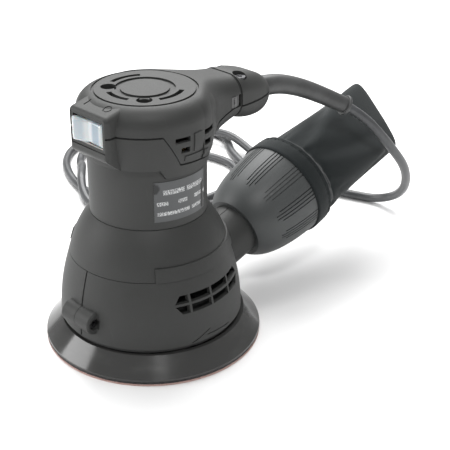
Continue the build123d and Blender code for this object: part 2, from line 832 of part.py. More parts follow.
def speed_dial():
    wheel = disc(dial_radius, dial_height, dial_height + dial_thickness)
    notch = disc(0.55, dial_height - 1, dial_height + dial_thickness + 1)
    wheel -= group(around(notch, dial_radius + 0.1, [15 * index for index in range(24)]))
    return Pos(dial_x, dial_y, 0) * (wheel - disc(2.0 + running_gap, 100, 160))


def suppressor_capacitor():
    return fillet(block(20, 33, -7, 7, 126, 136.5).edges(), 0.8)


def internal_wires():
    wires = []
    for side in (-4.0, 4.0):
        path = FilletPolyline((pivot_x + 15.6, side, 139), (39.5, side, 139), (39.5, side, 126.0), radius=4)
        section = Plane(origin=path @ 0, z_dir=path % 0) * Circle(0.9)
        wires.append(sweep(section, path=path))
    sheath = Pos(tail_split + 9, 0, tail_axis_height) * Rot(0, 90, 0) * Cylinder(cord_radius, 15.7, align=low)
    return group(wires + [sheath])


def cord_clamp():
    bar = block(tail_split + 12, tail_split + 18, -11, 11, tail_axis_height + 0.2, tail_axis_height + 5.6)
    bar -= Pos(tail_split + 15, 0, tail_axis_height) * Rot(0, 90, 0) * Cylinder(cord_radius + 0.05, 12)
    for y in clamp_screw_rows:
        bar -= disc(1.35, 100, 160, tail_split + 15, y)
    return bar


def pan_screw(seat, reach, shank=1.6, head=3.4):
    """A pan-head screw that hangs from its seat, with a cross recess."""
    body = disc(head, seat, seat + 2.2) + disc(shank, seat - reach, seat + 0.1)
    body -= block(-0.45, 0.45, -head * 0.6, head * 0.6, seat + 1.1, seat + 3)
    return body - block(-head * 0.6, head * 0.6, -0.45, 0.45, seat + 1.1, seat + 3)


def clamp_screws():
    screw = pan_screw(tail_axis_height + 5.6, 10.5, 1.3, 2.5)
    return group([Pos(tail_split + 15, y, 0) * screw for y in clamp_screw_rows])


def top_cover_screws():
    return group(around(pan_screw(cover_screw_seat, 16), cover_screw_circle, cover_screw_angles))


def tail_cap_screws():
    screw = pan_screw(head_top - 9.0, 15)
    return group([Pos(x, y, 0) * screw for x, y in cap_screw_places])


def boss_screw():
    screw = pan_screw(0, 17, 1.5, 2.9)
    return Pos(-bell_base_radius + 0.9, -7.3, bell_base + 11.5) * Rot(90, 0, 0) * screw


# ---- dust collar and bag ----
def along_outlet(solid):
    return outlet_place() * solid


def collar_outline(inset):
    """Radius against distance along the outlet: a mouth that swells to the bag's end."""
    length = collar_end - collar_start
    shape = []
    for share, rise in ((0.0, 0.0), (0.16, 0.43), (0.43, 0.76), (0.72, 0.93), (1.0, 1.0)):
        radius = collar_mouth_radius + rise * (collar_big_radius - collar_mouth_radius)
        shape.append((radius - inset, collar_start + share * length))
    return shape


def collar_form(inset):
    shape = collar_outline(inset)
    edge = Spline(*shape)
    first = Line((0, shape[0][1]), shape[0])
    last = Line(shape[-1], (0, shape[-1][1]))
    axis = Line((0, shape[-1][1]), (0, shape[0][1]))
    return revolve(Plane.XZ * make_face(edge + first + last + axis), Axis.Z)


def collar_flutes():
    """Groups of four fine lengthwise grooves, the middle two longer."""
    flutes = []
    for index in range(flute_groups):
        for place in (-1.5, -0.5, 0.5, 1.5):
            start = collar_start + 12 + 3 * abs(place)
            groove = block(10, 50, -flute_width / 2, flute_width / 2, start, collar_end + 1)
            flutes.append(Rot(0, 0, 360 / flute_groups * index + 4.2 * place + 12) * groove)
    return group(flutes)


def dust_collar():
    solid = collar_form(0.0)
    bore = disc(outlet_radius + running_gap * 2, collar_start - 1, collar_start + 19)
    hollow = collar_form(collar_wall) & disc(60, collar_start + 19, collar_end + 1)
    solid = solid - bore - hollow
    mouth = disc(outlet_radius - outlet_wall, collar_start - 1, collar_end)
    solid -= mouth
    solid -= collar_flutes() & (collar_form(-1.0) - collar_form(flute_depth))
    return along_outlet(solid)


def collar_ring():
    outer = collar_big_radius - collar_wall - 1.2
    return along_outlet(ring(outer, outer - 2.0, collar_end - ring_depth, collar_end + 2))


def bag_hem():
    outer = collar_big_radius + hem_rise
    return along_outlet(ring(outer, outer - hem_thickness, collar_end + 0.1, collar_end + hem_length))


def bag_fabric():
    """The closed outer shape of the cloth bag, from its round hem to its flat sewn end."""
    start = collar_end + hem_length + 0.1
    length = bag_end - start
    round_end = collar_big_radius + hem_rise / 2
    across = Vector(1, 0, 0).rotate(Axis.Z, bag_turn)
    sections = []
    shape = ((0.0, round_end, round_end), (0.35, bag_half_width + 1.1, bag_half_width + 0.5),
             (0.65, bag_half_width - 0.3, bag_half_width - 5), (1.0, bag_half_width, bag_half_thickness))
    for share, half_width, half_thickness in shape:
        drift = bag_side_drift * share ** 2
        droop = bag_droop * share ** 2
        plane = Plane(origin=(droop, drift, start + share * length), x_dir=across, z_dir=(0, 0, 1))
        corner = half_thickness - 0.3 - 4 * share * (1 - share)
        sections.append(plane * RectangleRounded(2 * half_width, 2 * half_thickness, corner))
    return along_outlet(loft(sections))


# ---- cord, coil and plug ----
guard_route = ((82.0, 0.0, tail_axis_height), (96.0, -0.6, tail_axis_height - 0.4), (111.0, -3.6, 123.4),
               (130.5, -10.6, 114.8), (148.0, -20.0, 104.0))

# Free stretch: over the bag's side, down behind its end to the floor, then along it to the coil.
cord_route = ((148.6, -20.4, 103.5), (158.0, -27.0, 96.0), (168.0, -32.5, 84.0), (180.5, -36.0, 69.0),
              (196.0, -35.0, 53.0), (209.0, -29.5, 37.0), (219.5, -20.5, 22.0), (226.5, -7.5, 9.8),
              (226.0, 8.0, 3.1), (220.0, 24.0, 3.1), (214.0, 43.0, 3.1), (211.0, 66.0, 3.1),
              (214.0, 92.0, 3.1), (220.5, 118.0, 3.1))

# From the coil's last turn to the plug.
lead_route = ((70.5, 130.0, 3.1), (74.5, 112.5, 4.5), (83.0, 92.6, 6.7))


def corner_radii(route):
    points = [Vector(*point) for point in route]
    radii = []
    for before, corner, after in zip(points, points[1:], points[2:]):
        first = corner - before
        second = after - corner
        turn = math.radians(first.get_angle(second))
        shorter = min(first.length, second.length)
        radii.append(0.45 * shorter / math.tan(turn / 2))
    return radii


def round_tube(route, radius, name):
    radii = corner_radii(route)
    path = FilletPolyline(*route, radius=radii)
    section = Plane(origin=path @ 0, z_dir=path % 0) * Circle(radius)
    tube = sweep(section, path=path)
    expected = math.pi * radius ** 2 * path.length
    print(name, "length", round(path.length, 1), "volume share", round(tube.volume / expected, 4),
          "radii", [round(value, 1) for value in radii])
    return tube


def cord_guard():
    sleeve = round_tube(guard_route, guard_radius, "guard")
    end = Vector(*guard_route[-1])
    heading = (end - Vector(*guard_route[-2])).normalized()
    face = Plane(origin=end - heading * 2.4, z_dir=heading)
    flange = extrude(face * Circle(guard_radius + 0.7), amount=2.4)
    inner = Pos(guard_route[0][0], 0, tail_axis_height) * Rot(0, 90, 0)
    anchor = inner * Cylinder(7.2, 2.0, align=low)
    return sleeve + flange + anchor


def cord_coil():
    return ring(coil_outer, coil_inner, 0.0, coil_height, *coil_centre)


def power_cord():
    free = round_tube(cord_route, cord_radius, "cord") - cord_coil()
    lead = round_tube(lead_route, cord_radius, "lead") - cord_coil()
    return group([free, lead])


def at_plug(solid):
    """Local Z runs from the cord's entry towards the pins, local Y stands up."""
    place = Plane(origin=(plug_start[0], plug_start[1], plug_half_thickness),
                  x_dir=(-math.sin(math.radians(plug_heading)), math.cos(math.radians(plug_heading)), 0),
                  z_dir=(math.cos(math.radians(plug_heading)), math.sin(math.radians(plug_heading)), 0))
    return place.location * solid


def plug_body():
    relief = loft([Circle(cord_radius + 0.9), Plane.XY.offset(plug_relief) * Circle(5.6)])
    back = Plane.XY.offset(plug_relief) * RectangleRounded(15, 12, 5)
    middle = Plane.XY.offset(plug_relief + 12) * RectangleRounded(26, 2 * plug_half_thickness - 0.4, 5)
    front = Plane.XY.offset(plug_length) * RectangleRounded(34, 2 * plug_half_thickness - 0.4, 5)
    return at_plug(relief + loft([back, middle, front], ruled=True) - plug_sockets())


def plug_sockets():
    pin = Pos(0, 0, plug_length - pin_seat) * Cylinder(pin_neck_radius + 0.01, 20, align=low)
    return group([Pos(side * pin_spacing / 2, 0, 0) * pin for side in (-1, 1)])


def plug_pins():
    pin = Pos(0, 0, plug_length) * Cylinder(pin_radius, pin_length, align=low)
    pin = chamfer(pin.edges().sort_by(Axis.Z)[-1], 0.6)
    pin += Pos(0, 0, plug_length - pin_seat) * Cylinder(pin_neck_radius, pin_seat, align=low)
    return at_plug(group([Pos(side * pin_spacing / 2, 0, 0) * pin for side in (-1, 1)]))


# ---- every node, by name ----
nodes = {
    "sanding_disc": sanding_disc,
    "hook_layer": hook_layer,
    "pad_body": pad_body,
    "backing_plate": backing_plate,
    "pad_spindle": pad_spindle,
    "pad_screw": pad_screw,
    "pad_bearing_inner": lambda: bearing_inner(large_bearing, pad_bearing_bottom, orbit),
    "pad_bearing_outer": lambda: bearing_outer(large_bearing, pad_bearing_bottom, orbit),
    "eccentric_hub": eccentric_hub,
    "motor_shaft": motor_shaft,
    "cooling_fan": cooling_fan,
    "armature_core": armature_core,
    "armature_windings": armature_windings,
    "commutator": commutator,
    "lower_bearing_inner": lambda: bearing_inner(large_bearing, lower_bearing_bottom),
    "lower_bearing_outer": lambda: bearing_outer(large_bearing, lower_bearing_bottom),
    "upper_bearing_inner": lambda: bearing_inner(small_bearing, upper_bearing_bottom),
    "upper_bearing_outer": lambda: bearing_outer(small_bearing, upper_bearing_bottom),
    "brake_ring": brake_ring,
    "fan_housing_left": lambda: fan_housing(1),
    "fan_housing_right": lambda: fan_housing(-1),
    "boss_screw": boss_screw,
    "shoulder_cover": shoulder_cover,
    "dust_outlet": dust_outlet,
    "bearing_plate": bearing_plate,
    "motor_housing": motor_housing,
    "field_stator": field_stator,
    "field_coils": field_coils,
    "brush_holders": brush_holders,
    "carbon_brushes": carbon_brushes,
    "brush_springs": brush_springs,
    "rating_label": rating_label,
    "icon_label": icon_label,
    "head_base": head_base,
    "top_cover": top_cover,
    "top_cover_screws": top_cover_screws,
    "tail_cap_upper": lambda: tail_cap(True),
    "tail_cap_lower": lambda: tail_cap(False),
    "tail_cap_screws": tail_cap_screws,
    "switch_frame": switch_frame,
    "switch_body": switch_body,
    "rocker": rocker,
    "switch_boot": switch_boot,
    "speed_module": speed_module,
    "speed_dial": speed_dial,
    "suppressor_capacitor": suppressor_capacitor,
    "internal_wires": internal_wires,
    "cord_clamp": cord_clamp,
    "clamp_screws": clamp_screws,
    "cord_guard": cord_guard,
    "power_cord": power_cord,
    "cord_coil": cord_coil,
    "plug_body": plug_body,
    "plug_pins": plug_pins,
    "dust_collar": dust_collar,
    "collar_ring": collar_ring,
    "bag_hem": bag_hem,
    "bag_fabric": bag_fabric,
}

os.makedirs("parts", exist_ok=True)
for name, make in nodes.items():
    export_step(make(), "parts/" + name + ".step")
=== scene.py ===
import json
import math
import random

import bpy
import bmesh
from mathutils import Matrix, Vector


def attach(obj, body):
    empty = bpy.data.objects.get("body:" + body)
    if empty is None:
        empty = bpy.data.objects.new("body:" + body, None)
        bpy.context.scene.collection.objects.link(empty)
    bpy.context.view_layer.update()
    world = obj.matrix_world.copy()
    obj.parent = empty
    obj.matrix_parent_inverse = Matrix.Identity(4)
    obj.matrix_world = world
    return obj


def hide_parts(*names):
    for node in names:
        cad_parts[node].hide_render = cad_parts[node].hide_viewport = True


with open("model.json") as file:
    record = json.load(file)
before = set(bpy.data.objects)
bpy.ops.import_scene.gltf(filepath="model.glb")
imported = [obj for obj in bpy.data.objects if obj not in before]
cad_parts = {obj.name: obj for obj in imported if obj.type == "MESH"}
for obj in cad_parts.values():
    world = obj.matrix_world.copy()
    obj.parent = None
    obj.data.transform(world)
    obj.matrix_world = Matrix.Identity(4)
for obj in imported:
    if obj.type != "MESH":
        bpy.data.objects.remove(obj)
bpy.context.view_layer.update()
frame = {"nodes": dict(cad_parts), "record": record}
nodes = frame["nodes"]
bpy.ops.object.select_all(action="DESELECT")
random.seed(7)
mm = 0.001


def inMetres(points):
    return [Vector(point) * mm for point in points]


# camera in front of the switch and above it, looking down at the bell
view = {"eye": (-346.7, -398.9, 338.2), "right": (0.701, -0.713, 0.005), "up": (0.323, 0.325, 0.889),
        "lens": 84.0, "sensor": 36.0}
right = Vector(view["right"]).normalized()
back = right.cross(Vector(view["up"])).normalized()
up = back.cross(right)
bpy.ops.object.camera_add(location=Vector(view["eye"]) * mm)
camera = bpy.context.object
facing = Matrix((right, up, back)).transposed().to_4x4()
camera.matrix_world = Matrix.Translation(Vector(view["eye"]) * mm) @ facing
camera.data.lens = view["lens"]
camera.data.sensor_width = view["sensor"]
camera.data.clip_start = 0.01
bpy.context.scene.camera = camera


# cord
cordFacts = {"radius": 3.1, "floor": 3.1, "crossing": 10.7, "coilCentre": (147.0, 165.0),
             "innerCentre": (143.0, 170.0), "inwards": (190, 168)}
floor = cordFacts["floor"]
over = cordFacts["crossing"]
freeStretch = [(148.6, -20.4, 103.5), (158, -27, 96), (168, -32.5, 84), (180.5, -36, 69), (196, -35, 53),
               (209, -29.5, 37), (219.5, -20.5, 22), (226.5, -7.5, 9.8), (226, 8, floor), (220, 24, floor),
               (214, 43, floor), (211, 66, floor), (214, 92, floor), (220.5, 118, floor)]
# the loose turns, as angle, distance from the coil's centre and height
firstTurn = [(-12.5, 79, over), (-1, 77.5, over), (13, 78, 6.5), (34, 79.5, floor), (58, 80.5, floor),
             (82, 79.5, floor), (104, 76.5, floor), (124, 69.5, floor), (142, 64, floor), (158, 62, floor),
             (176, 63, floor), (198, 67, floor), (222, 70.5, floor), (246, 72, floor), (270, 72, floor),
             (292, 71, floor), (310, 68, floor), (323, 62.5, floor), (335, 54.5, floor), (346, 48.5, floor)]
innerTurns = [(22, 44, floor), (46, 42, floor), (72, 40, floor), (98, 39, floor), (124, 38.5, floor),
              (150, 38.5, floor), (178, 38.5, floor), (206, 38.5, floor), (234, 38, floor), (262, 37.5, floor),
              (290, 37, floor), (318, 36.5, floor), (346, 35.5, floor), (374, 34, floor), (402, 32.5, floor),
              (432, 31.5, floor), (462, 31, floor), (492, 30.5, 3.6), (518, 31, over), (540, 33, over),
              (560, 38, over)]
lastTurn = [(222, 60, over), (235, 72, over), (247, 80, 6.5), (264, 84, floor), (284, 84, floor),
            (302, 80, floor), (317, 74.5, floor), (331, 70, floor), (343, 71, floor), (352, 77, floor),
            (361, 84.5, floor), (372, 88, floor), (385, 87, 6), (396, 84, over), (407, 79, over), (419, 74, 6),
            (436, 69.5, floor), (455, 66, floor), (471, 62, floor), (485, 57, floor), (497, 53.5, 6),
            (508, 53, over), (520, 56, over), (531, 61.5, over), (541, 68.5, 7), (551, 75, floor)]
toThePlug = [(70.5, 130, floor), (74.5, 112.5, 4.5), (83.0, 92.6, 6.7)]


def aroundCentre(turns, centre):
    found = []
    for angle, distance, height in turns:
        turn = math.radians(angle)
        found.append((centre[0] + distance * math.cos(turn), centre[1] + distance * math.sin(turn), height))
    return found


def smoothLine(name, points, radius, swell=None):
    data = bpy.data.curves.new(name, "CURVE")
    data.dimensions = "3D"
    line = data.splines.new("NURBS")
    line.points.add(len(points) - 1)
    for index, point in enumerate(inMetres(points)):
        line.points[index].co = (*point, 1)
        line.points[index].radius = radius * mm * (swell[index] if swell else 1.0)
    line.order_u = 3
    line.use_endpoint_u = True
    line.resolution_u = 6
    data.bevel_depth = 1.0
    data.bevel_resolution = 5
    data.use_fill_caps = True
    piece = bpy.data.objects.new(name, data)
    bpy.context.scene.collection.objects.link(piece)
    return piece


cordPoints = (freeStretch + aroundCentre(firstTurn, cordFacts["coilCentre"])
              + [(*cordFacts["inwards"], floor)]
              + aroundCentre(innerTurns, cordFacts["innerCentre"])
              + aroundCentre(lastTurn, cordFacts["coilCentre"]) + toThePlug)
mainsCord = smoothLine("mainsCord", cordPoints, cordFacts["radius"])
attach(mainsCord, "housing")
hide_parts("power_cord", "cord_coil")
print("cord laid")


# shader maths
class Value:
    def __init__(self, kit, socket):
        self.kit = kit
        self.socket = socket

    def maths(self, operation, *others):
        return self.kit.node("ShaderNodeMath", {"operation": operation}, dict(enumerate((self, *others))))

    def __add__(self, other):
        return self.maths("ADD", other)

    def __sub__(self, other):
        return self.maths("SUBTRACT", other)

    def __mul__(self, other):
        return self.maths("MULTIPLY", other)

    def __rsub__(self, other):
        return self.kit.node("ShaderNodeMath", {"operation": "SUBTRACT"}, {0: other, 1: self})

    __radd__ = __add__
    __rmul__ = __mul__

    def smooth(self, low, high):
        settings = {"interpolation_type": "SMOOTHSTEP"}
        return self.kit.node("ShaderNodeMapRange", settings, {0: self, 1: low, 2: high, 3: 0.0, 4: 1.0})


class Finish:
    def __init__(self, name):
        self.material = bpy.data.materials.new(name)
        self.material.use_nodes = True
        self.tree = self.material.node_tree
        self.tree.nodes.clear()
        self.output = self.tree.nodes.new("ShaderNodeOutputMaterial")

    def node(self, kind, settings=None, sockets=None, out=0):
        made = self.tree.nodes.new(kind)
        for key, value in (settings or {}).items():
            setattr(made, key, value)
        for key, value in (sockets or {}).items():
            if isinstance(value, Value):
                self.tree.links.new(value.socket, made.inputs[key])
            else:
                made.inputs[key].default_value = value
        return Value(self, made.outputs[out])

    def place(self):
        return self.node("ShaderNodeTexCoord", out="Object")

    def cloth(self):
        return self.node("ShaderNodeUVMap", {"uv_map": "cloth"})

    def stretched(self, place, scale, turn=(0, 0, 0)):
        sockets = {"Vector": place, "Scale": scale, "Rotation": turn}
        return self.node("ShaderNodeMapping", None, sockets)

    def noise(self, place, scale, detail=2.0, rough=0.5):
        sockets = {"Vector": place, "Scale": scale, "Detail": detail, "Roughness": rough}
        return self.node("ShaderNodeTexNoise", None, sockets)

    def cells(self, place, scale, feature="F1"):
        return self.node("ShaderNodeTexVoronoi", {"feature": feature}, {"Vector": place, "Scale": scale})

    def split(self, vector):
        first = self.node("ShaderNodeSeparateXYZ", None, {0: vector})
        return [Value(self, socket) for socket in first.socket.node.outputs]

    def blend(self, first, second, factor):
        one = (*first, 1) if isinstance(first, tuple) else first
        two = (*second, 1) if isinstance(second, tuple) else second
        return self.node("ShaderNodeMix", {"data_type": "RGBA"}, {0: factor, 6: one, 7: two}, out=2)

    def bump(self, height, strength, depth, below=None):
        sockets = {"Height": height, "Strength": strength, "Distance": depth}
        if below:
            sockets["Normal"] = below
        return self.node("ShaderNodeBump", None, sockets)

    def surface(self, **sockets):
        named = {key.replace("_", " "): value for key, value in sockets.items()}
        shader = self.node("ShaderNodeBsdfPrincipled", None, named)
        self.tree.links.new(shader.socket, self.output.inputs["Surface"])
        return self.material


def tinted(colour, amount):
    return tuple(channel * amount for channel in colour)


def plastic(name, colour, rough, grain=0.25, grainSize=1700.0, mottle=0.12, **fixed):
    kit = Finish(name)
    place = kit.place()
    cloud = kit.noise(place, 42.0, 4.0)
    fine = kit.noise(place, grainSize, 2.0, 0.6)
    scuff = kit.noise(kit.stretched(place, (900.0, 60.0, 60.0), (0.3, 0.2, 0.5)), 1.0, 3.0)
    colours = kit.blend(tinted(colour, 1 - mottle), tinted(colour, 1 + mottle), cloud)
    colours = kit.blend(colours, tinted(colour, 1.5), scuff.smooth(0.66, 0.78) * 0.25)
    roughness = cloud * 0.08 + fine * 0.1 + (rough - 0.09)
    return kit.surface(Base_Color=colours, Roughness=roughness, Normal=kit.bump(fine, grain, 0.00012), **fixed)


def rubber(name, colour, rough, grain=0.12, **fixed):
    kit = Finish(name)
    place = kit.place()
    bloom = kit.noise(place, 70.0, 5.0, 0.6)
    fine = kit.noise(place, 2600.0, 2.0)
    colours = kit.blend(tinted(colour, 0.85), tinted(colour, 1.3), bloom.smooth(0.35, 0.7))
    roughness = bloom * 0.12 + (rough - 0.06)
    return kit.surface(Base_Color=colours, Roughness=roughness, Normal=kit.bump(fine, grain, 0.00008), **fixed)


def metal(name, colour, rough, turned=True):
    kit = Finish(name)
    place = kit.place()
    stain = kit.noise(place, 90.0, 4.0)
    if turned:
        lines = kit.noise(kit.stretched(place, (40.0, 40.0, 4200.0)), 1.0, 2.0)
    else:
        lines = kit.noise(place, 1500.0, 3.0)
    colours = kit.blend(tinted(colour, 0.75), colour, stain.smooth(0.3, 0.6))
    roughness = lines * 0.14 + stain * 0.1 + (rough - 0.1)
    return kit.surface(Base_Color=colours, Metallic=1.0, Roughness=roughness,
                       Normal=kit.bump(lines, 0.15, 0.00005))


def glossPad(name, colour):
    kit = Finish(name)
    place = kit.place()
    smear = kit.noise(kit.stretched(place, (30.0, 30.0, 90.0)), 1.0, 4.0)
    dust = kit.noise(place, 3100.0, 2.0)
    colours = kit.blend(colour, tinted(colour, 2.2), smear.smooth(0.5, 0.8) * 0.5)
    roughness = smear * 0.16 + dust.smooth(0.6, 0.75) * 0.1 + 0.05
    return kit.surface(Base_Color=colours, Roughness=roughness, Normal=kit.bump(smear, 0.05, 0.0005))


def pile(name, colour):
    kit = Finish(name)
    place = kit.place()
    loops = kit.cells(place, 1300.0)
    fluff = kit.noise(place, 3500.0, 3.0)
    colours = kit.blend(tinted(colour, 0.5), tinted(colour, 2.4), loops * 0.7 + fluff * 0.3)
    return kit.surface(Base_Color=colours, Roughness=0.95, Sheen_Weight=0.3,
                       Normal=kit.bump(loops + fluff, 0.9, 0.0005))


def grit(name, paper, grain):
    kit = Finish(name)
    place = kit.place()
    sand = kit.cells(place, 2400.0)
    tone = kit.noise(place, 120.0, 4.0)
    colours = kit.blend(paper, grain, sand.smooth(0.25, 0.6))
    colours = kit.blend(colours, tinted(paper, 0.8), tone.smooth(0.45, 0.75) * 0.4)
    return kit.surface(Base_Color=colours, Roughness=0.85, Normal=kit.bump(sand, 0.8, 0.0003))


def winding(name, colour, wire=0.0009):
    kit = Finish(name)
    place = kit.place()
    z = kit.split(place)[2]
    strands = (z * (2 * math.pi / wire)).maths("SINE")
    drift = kit.noise(place, 300.0, 3.0)
    colours = kit.blend(tinted(colour, 0.45), colour, strands * 0.4 + drift * 0.6)
    return kit.surface(Base_Color=colours, Metallic=0.9, Roughness=drift * 0.2 + 0.25,
                       Normal=kit.bump(strands, 0.6, 0.0002))


def stacked(name, colour, sheet=0.0006):
    kit = Finish(name)
    place = kit.place()
    z = kit.split(place)[2]
    seams = (z * (2 * math.pi / sheet)).maths("SINE")
    rust = kit.noise(place, 140.0, 4.0)
    colours = kit.blend(tinted(colour, 0.6), colour, seams.smooth(-0.9, 0.1))
    colours = kit.blend(colours, (0.16, 0.1, 0.06), rust.smooth(0.6, 0.75) * 0.35)
    return kit.surface(Base_Color=colours, Metallic=0.85, Roughness=rust * 0.25 + 0.3,
                       Normal=kit.bump(seams, 0.3, 0.0001))


def circuitBoard(name):
    kit = Finish(name)
    place = kit.place()
    tracks = kit.cells(kit.stretched(place, (420.0, 420.0, 420.0)), 1.0, "DISTANCE_TO_EDGE")
    colours = kit.blend((0.02, 0.12, 0.05), (0.08, 0.26, 0.12), tracks.smooth(0.08, 0.16))
    return kit.surface(Base_Color=colours, Roughness=tracks * 0.2 + 0.3, Normal=kit.bump(tracks, 0.2, 0.0001))


# printed rows on the rating plate: height, half height, and each run's first and last angle
platePrint = {"title": (101.3, 1.35, ((-117.5, -95.6), (-92.9, -71.0))),
              "ratings": (94.9, 1.1, ((-123.5, -112.7), (-102.5, -92.2), (-83.2, -72.0))),
              "speeds": (89.1, 1.05, ((-123.3, -89.5), (-86.7, -73.0)))}
# rings on the narrow strip: height, size and angle, and the millimetres in a degree around the tube
stripPrint = {"rings": ((98.4, 1.5, -64.4), (94.9, 1.7, -66.1), (91.6, 0.9, -64.6), (89.2, 1.4, -65.0),
                        (87.2, 0.8, -65.4)),
              "degree": 0.573}
wornCorner = {"angle": -126.0, "height": 104.0}


def windowOf(value, low, high, edge):
    return value.smooth(low - edge, low + edge) * (1 - value.smooth(high - edge, high + edge))


def ratingPlate(name, ground, ink, inks):
    kit = Finish(name)
    place = kit.place()
    x, y, z = kit.split(place)
    angle = y.maths("ARCTAN2", x) * math.degrees(1)
    height = z * 1000.0
    rolledOut = kit.node("ShaderNodeCombineXYZ", None, {0: angle * 1.5, 1: height * 0.75, 2: 3.0})
    strokes = kit.noise(rolledOut, 1.0, 1.0)
    letters = strokes.smooth(0.44, 0.5) * (1 - strokes.smooth(0.58, 0.64))
    marks = None
    for middle, half, runs in platePrint.values():
        row = windowOf(height, middle - half, middle + half, 0.12)
        for first, last in runs:
            run = row * windowOf(angle, first, last, 0.25)
            marks = run if marks is None else marks + run
    patch = kit.noise(place, 260.0, 3.0)
    sideways = angle - wornCorner["angle"]
    upwards = height - wornCorner["height"]
    corner = sideways * sideways * 0.02 + upwards * upwards * 0.05
    worn = 1 - (corner + patch * 0.8).smooth(0.75, 1.15)
    sheen = kit.noise(place, 60.0, 3.0)
    colours = kit.blend(tinted(ground, 0.85), tinted(ground, 1.15), sheen)
    colours = kit.blend(colours, tinted(ground, 0.16), worn * 0.9)
    colours = kit.blend(colours, ink, marks * letters * inks)
    return kit.surface(Base_Color=colours, Metallic=0.25, Roughness=sheen * 0.12 + 0.34,
                       Normal=kit.bump(marks * letters, 0.1, 0.00005))


def iconStrip(name, ground, ink):
    kit = Finish(name)
    place = kit.place()
    x, y, z = kit.split(place)
    angle = y.maths("ARCTAN2", x) * math.degrees(1)
    height = z * 1000.0
    marks = None
    for middle, half, centre in stripPrint["rings"]:
        away = (angle - centre) * stripPrint["degree"]
        rise = height - middle
        reach = (away * away + rise * rise).maths("SQRT")
        shape = (1 - reach.smooth(half - 0.15, half + 0.15)) * reach.smooth(half * 0.35, half * 0.35 + 0.25)
        marks = shape if marks is None else marks + shape
    wear = kit.noise(place, 900.0, 3.0)
    colours = kit.blend(ground, ink, marks * wear.smooth(0.3, 0.5))
    return kit.surface(Base_Color=colours, Roughness=wear * 0.15 + 0.3, Normal=kit.bump(marks, 0.1, 0.00005))


def wovenCloth(name, colour, yarn=0.0008):
    kit = Finish(name)
    place = kit.cloth()
    u, v = kit.split(place)[:2]
    warp = (u * (2 * math.pi / yarn)).maths("SINE")
    weft = (v * (2 * math.pi / yarn)).maths("SINE")
    crossing = (warp * weft) * 0.5 + 0.5
    fluff = kit.noise(place, 1400.0, 4.0, 0.7)
    shade = kit.noise(place, 45.0, 4.0)
    colours = kit.blend(tinted(colour, 0.55), tinted(colour, 1.9), crossing * 0.3 + fluff * 0.7)
    colours = kit.blend(colours, tinted(colour, 1.7), shade.smooth(0.5, 0.85) * 0.35)
    under = kit.bump(fluff, 0.5, 0.0002)
    return kit.surface(Base_Color=colours, Roughness=0.92, Sheen_Weight=0.12, Sheen_Roughness=0.5,
                       Specular_IOR_Level=0.2, Normal=kit.bump(crossing, 0.45, 0.0001, under))


def silicone(name, colour, shade):
    kit = Finish(name)
    place = kit.place()
    y, z = kit.split(place)[1:]
    across = y * 1000.0
    # painted shade: the facet on the -Y side of the boot, which turns away from the light, is tinted fully
    # towards the darker shade colour, and the facet on the +Y side at 0.55
    cells = windowOf(across, -9.0, -3.2, 1.2) + windowOf(across, 2.6, 8.6, 1.6) * 0.55
    height = z * 1000.0
    cells = cells * windowOf(height, 128.6, 140.4, 0.9)
    cloud = kit.noise(place, 150.0, 3.0)
    colours = kit.blend(colour, shade, cells * (cloud * 0.3 + 0.7))
    return kit.surface(Base_Color=colours, Roughness=cloud * 0.1 + 0.2, Coat_Weight=0.4, Coat_Roughness=0.08,
                       Subsurface_Weight=0.25, Subsurface_Scale=0.002, Normal=kit.bump(cloud, 0.1, 0.0003))


